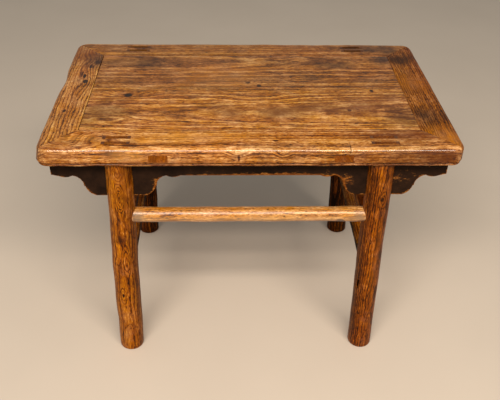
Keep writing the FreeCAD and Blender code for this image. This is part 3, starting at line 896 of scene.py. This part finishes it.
def fitLeg(leg, name, side, sideY):
    # Moves a copy to its corner, wears it and cuts its joints
    look = legLook
    piece = mirrorCopy(leg, name, (side, -sideY, 1))
    end = look["unwornEnd"]
    wear(piece, *look["wear"], lambda place: float(end < place.z < underZ - end))
    x, y = side * look["topX"], sideY * look["topY"]
    wide, half = 2 * look["radius"], look["slotHalf"]
    slot = addBlock("slot", (x - wide, y - half, look["slotBottom"]), (x + wide, y + half, underZ + past))
    carveWith(piece, "DIFFERENCE", [slot])
    half, low, high = look["tenonHalf"], underZ - look["tenonRoot"], topZ - topLook["tenonGap"]
    carveWith(piece, "UNION", [addBlock("tenon", (x - half, near, low), (x + half, far, high))
                               for near, far in tenonSpans(sideY)])
    return piece


def cutSlit(leg):
    look = slitLook
    slit = addBlock("slit", (-look["halfWidth"], -legLook["radius"] - past, -look["halfHeight"]),
                    (look["halfWidth"], look["depth"] - legLook["radius"], look["halfHeight"]))
    axis = legPoint(1, -1, look["height"]) + Vector((look["shift"], 0, 0))
    slit.data.transform(Matrix.Translation(axis) @ Matrix.Rotation(look["turn"], 4, "Z"))
    carveWith(leg, "DIFFERENCE", [slit])


def makeLegs():
    leg = makeLeg()
    for corner, side, sideY in [(depth + end.title(), side, sideY) for depth, sideY in depths
                                for end, side in ends]:
        piece = fitLeg(leg, corner + "LegRound", side, sideY)
        for (low, high), shift, swell, reach in legLook["bends"].get(corner, ()):
            choose(piece, "VERT", lambda vertex: low < vertex.co.z < high)
            bpy.ops.transform.translate(value=(shift, 0, 0), **softly(reach))
            centre = (legPoint(side, sideY, high).x, 0, 0)
            bpy.ops.transform.resize(value=(swell, 1, 1), center_override=centre, **softly(reach))
            leaveEdit()
        if corner == "frontRight":
            cutSlit(piece)
        finishPiece(piece, legWoods[corner])
    bpy.data.objects.remove(leg)


# Aprons, with a cloud-shaped lower edge on both sides of each leg

apronLook = {
    "front": 0.202, "back": 0.192, "endX": 0.360,
    "stripBottom": 0.4375, "endBottom": 0.4405, "spandrelBottom": 0.394,
    "reach": 0.085, "wingShare": 0.70,
    # The spandrel's belly, hollow and scallop: arcs through three points, in shares of its reach and drop
    "arcs": [
        ((0.53, 0.0), (0.675, 0.17), (0.75, 0.46)),
        ((0.775, 0.49), (0.825, 0.80), (0.99, 1.0)),
        ((0.99, 1.0), (1.14, 0.92), (1.29, 1.0)),
    ],
    "arcSteps": 10, "stripSteps": 0.02, "flatArea": 0.001,
    "arris": 0.0013, "sharpEnd": 0.012, "falloff": 0.0034, "rubbedReach": 0.0036,
}


def arcThrough(start, middle, end, count):
    # Points on the circle through three points, without the first one, by complex numbers
    a, b, c = (complex(*point) for point in (start, middle, end))
    ratio = (c - a) / (b - a)
    centre = a + (b - a) * (ratio - abs(ratio) ** 2) / (2j * ratio.imag)
    through, turn = (cmath.phase((point - centre) / (a - centre)) % math.tau for point in (b, c))
    if through > turn:
        turn -= math.tau
    arc = [centre + (a - centre) * cmath.rect(1, turn * n / count) for n in range(1, count + 1)]
    return [(point.real, point.imag) for point in arc]


def spandrelLine(side, reach):
    # Lower edge from the leg's axis outwards, in X and Z
    look = apronLook
    low = look["spandrelBottom"]
    drop = look["stripBottom"] - low
    points = []
    for arc in look["arcs"]:
        arc = [(legLook["topX"] + side * reach * x, low + drop * z) for x, z in arc]
        if not points or math.dist(points[-1], arc[0]) > tiny:
            points.append(arc[0])
        points += arcThrough(*arc, look["arcSteps"])
    return points


def traceOutline(name, points):
    # One corner, extruded from point to point and closed with a face; edit mode stays on
    deselect()
    bpy.ops.mesh.primitive_plane_add(size=tiny, location=points[0])
    piece = settle(name)
    choose(piece, "VERT", everything)
    bpy.ops.mesh.merge(type="CENTER")
    for here, point in zip(points, points[1:]):
        bpy.ops.mesh.extrude_region_move(TRANSFORM_OT_translate={"value": Vector(point) - Vector(here)})
    bpy.ops.mesh.select_all(action="SELECT")
    bpy.ops.mesh.edge_face_add()
    return piece


def makeFrontApron():
    look = apronLook
    wing = (look["endX"] - legLook["topX"]) * look["wingShare"]
    line = spandrelLine(-1, look["reach"])[::-1] + spandrelLine(1, wing)
    outline = [(0, underZ), (0, look["stripBottom"])]
    outline += [(x, look["stripBottom"]) for x in steps(0, line[0][0], look["stripSteps"])]
    outline += line + [(look["endX"], look["endBottom"]), (look["endX"], underZ)]
    apron = traceOutline("frontApronLacquered", [(x, -look["front"], z) for x, z in outline])
    bpy.ops.mesh.extrude_region_move(TRANSFORM_OT_translate={"value": (0, look["front"] - look["back"], 0)})
    bpy.ops.mesh.select_all(action="SELECT")
    bpy.ops.mesh.normals_make_consistent(inside=False)
    leaveEdit()
    edit(apron, "FACE", lambda face: abs(face.calc_center_median().x) < tiny,
         bpy.ops.mesh.delete, type="FACE")
    useModifier(apron, "MIRROR", use_axis=(True, False, False), use_clip=True)
    for side in both:
        cutAway(apron, (side * look["endX"], -look["front"], 0), (side, 1, 0))

    def isContour(edge):
        flats = [face for face in edge.link_faces if abs(face.normal.y) > 0.9]
        x, y, z = middleOf(edge)
        return len(flats) == 1 and z < underZ - below and abs(x) < look["endX"] - look["sharpEnd"]

    edit(apron, "EDGE", isContour, bpy.ops.mesh.bevel, offset=look["arris"], segments=2)
    edit(apron, "FACE", lambda face: abs(face.normal.y) > 0.99 and face.calc_area() > look["flatArea"],
         bpy.ops.mesh.inset, thickness=look["falloff"])
    sliceAlong(apron, 1, ((-look["front"] - look["back"]) / 2,))
    rub(apron, outline)
    return apron


def rub(apron, outline):
    # How far the lacquer is rubbed away: full on the arris, none inside the face or mid wall
    attribute = apron.data.attributes.new("rubbed", "FLOAT", "POINT")
    line = [Vector((x, z)) for x, z in outline[1:-1]]
    middle = (apronLook["front"] + apronLook["back"]) / 2
    for vertex, value in zip(apron.data.vertices, attribute.data):
        here = Vector((abs(vertex.co.x), vertex.co.z))
        far = min(distanceTo(here, a, b) for a, b in zip(line, line[1:]))
        onMiddle = abs(abs(vertex.co.y) - middle) < 5 * tiny
        value.value = 0 if onMiddle else max(0, 1 - far / apronLook["rubbedReach"])


def distanceTo(here, a, b):
    run = b - a
    share = max(0, min(1, (here - a).dot(run) / max(run.length_squared, 1e-12)))
    return (a + run * share - here).length


def makeAprons():
    look = apronLook
    front = makeFrontApron()
    rear = mirrorCopy(front, "rearApronLacquered", (1, -1, 1))
    x, y = look["endX"], look["front"]
    inner = x - look["front"] + look["back"]
    end = addBlock("rightEndApronLacquered", (inner, -y, look["endBottom"]), (x, y, underZ))
    for side in both:
        cutAway(end, (x, side * y, 0), (-1, side, 0))
    edit(end, "EDGE", lambda edge: isBelow(edge, underZ) and abs(spanOf(edge).y) > y,
         bpy.ops.mesh.bevel, offset=look["arris"], segments=2)
    for piece in (front, rear, end, mirrorCopy(end, "leftEndApronLacquered", (-1, 1, 1))):
        finishPiece(piece, apronLacquer)


# Stretchers, scribed over the round legs

stretcherLook = {
    "longHeight": 0.3464, "longRadius": 0.0147, "sideHeights": (0.288, 0.201), "sideRadius": 0.013,
    "sides": 48, "grid": 0.012, "wear": (0.045, 0.0018, 0.6),
    "bite": 0.003, "scribeSpan": (0.1, 0.45),
}


def makeStretcher(name, legs, axis, height, radius, material):
    # Round bar from the axis of one leg to another's; legs are a side and a depth side each
    look = stretcherLook
    start, end = (legPoint(*leg, height) for leg in legs)
    bar = addRod(name, start, end, radius, look["sides"])
    sliceAlong(bar, axis, steps(start[axis], end[axis], look["grid"]))
    wear(bar, *look["wear"])
    low, high = look["scribeSpan"]
    bite = legLook["radius"] - look["bite"]
    carveWith(bar, "DIFFERENCE", [addRod("scribe", legPoint(*leg, low), legPoint(*leg, high), bite,
                                         legLook["sides"]) for leg in legs])
    # The scribing leaves loose ends beyond the legs' middles
    nearest = min(abs(vertex.co[axis]) for vertex in bar.data.vertices)
    choose(bar, "VERT", lambda vertex: abs(vertex.co[axis]) < nearest + tiny)
    bpy.ops.mesh.select_linked(delimit=set())
    bpy.ops.mesh.select_all(action="INVERT")
    bpy.ops.mesh.delete(type="VERT")
    leaveEdit()
    finishPiece(bar, material)


def makeStretchers():
    look = stretcherLook
    for depth, sideY in depths:
        makeStretcher(depth + "StretcherRound", [(side, sideY) for side in both], 0,
                      look["longHeight"], look["longRadius"], longStretcherWood)
    for end, side in ends:
        for level, height in zip(("Upper", "Lower"), look["sideHeights"]):
            makeStretcher(end + level + "StretcherRound", [(side, sideY) for sideY in both], 1,
                          height, look["sideRadius"], sideStretcherWood)


print("top")
makeTop()
print("battens")
makeBattens()
print("legs")
makeLegs()
print("aprons")
makeAprons()
print("stretchers")
makeStretchers()
wedges = frame["nodes"]["leg_tenon_wedges"]
wedges.data.materials.clear()
wedges.data.materials.append(wedgeWood)


# Floor, lights and camera

studioLook = {
    "floor": ("#cec4b7", "#d2c8bb"),
    "worldColour": "#ece7df",
    "worldStrength": 0.35,
    "lights": [
        ("keyLight", (-0.9, -1.8, 2.2), (1.2, 1.2), 12, "#fff7ee"),
        ("stripLight", (0.15, -1.65, 2.2), (2.6, 0.5), 78, "#ffeedb"),
    ],
    "aimHeight": 0.4,
}


def makeStudio():
    deselect()
    bpy.ops.mesh.primitive_plane_add(size=12, location=(0, 0, 0))
    floor = settle("studioFloor")
    material, add = newMaterial("pale painted floor")
    place = add("TexCoord", out="Object")
    cloudy = add("TexNoise", {"Vector": place, "Scale": 3, "Detail": 3})
    colour = add("ValToRGB", {"Fac": cloudy}, stops=list(zip((0.3, 0.7), studioLook["floor"])))
    add("OutputMaterial", {"Surface": add("BsdfPrincipled", {"Base Color": colour, "Roughness": 0.9})})
    floor.data.materials.append(material)
    world = bpy.data.worlds.new("studio")
    world.use_nodes = True
    background = world.node_tree.nodes["Background"]
    background.inputs["Color"].default_value = linear(studioLook["worldColour"])
    background.inputs["Strength"].default_value = studioLook["worldStrength"]
    bpy.context.scene.world = world
    for name, place, size, power, colour in studioLook["lights"]:
        bpy.ops.object.light_add(type="AREA", location=place)
        lamp = bpy.context.object
        lamp.name = name
        lamp.data.shape = "RECTANGLE"
        lamp.data.size, lamp.data.size_y = size
        lamp.data.energy = power
        lamp.data.color = linear(colour)[:3]
        aim = Vector((place[0], 0, studioLook["aimHeight"])) - Vector(place)
        lamp.rotation_euler = aim.to_track_quat("-Z", "Y").to_euler()


cameraLook = {
    "place": (-0.0436, -1.2309, 1.1296), "lens": 49.0,
    "pitch": 35.96, "yaw": 2.42, "roll": 1.22,
}


def makeCamera():
    bpy.ops.object.camera_add(location=cameraLook["place"])
    camera = bpy.context.object
    camera.name = "photoCamera"
    camera.data.lens = cameraLook["lens"]
    camera.data.sensor_width = 36
    camera.data.sensor_fit = "HORIZONTAL"
    turn = (Matrix.Rotation(math.radians(-cameraLook["yaw"]), 4, "Z")
            @ Matrix.Rotation(math.radians(90 - cameraLook["pitch"]), 4, "X")
            @ Matrix.Rotation(math.radians(cameraLook["roll"]), 4, "Z"))
    camera.rotation_euler = turn.to_euler()
    bpy.context.scene.camera = camera


print("studio")
makeStudio()
makeCamera()
bpy.context.scene.view_settings.view_transform = "Standard"
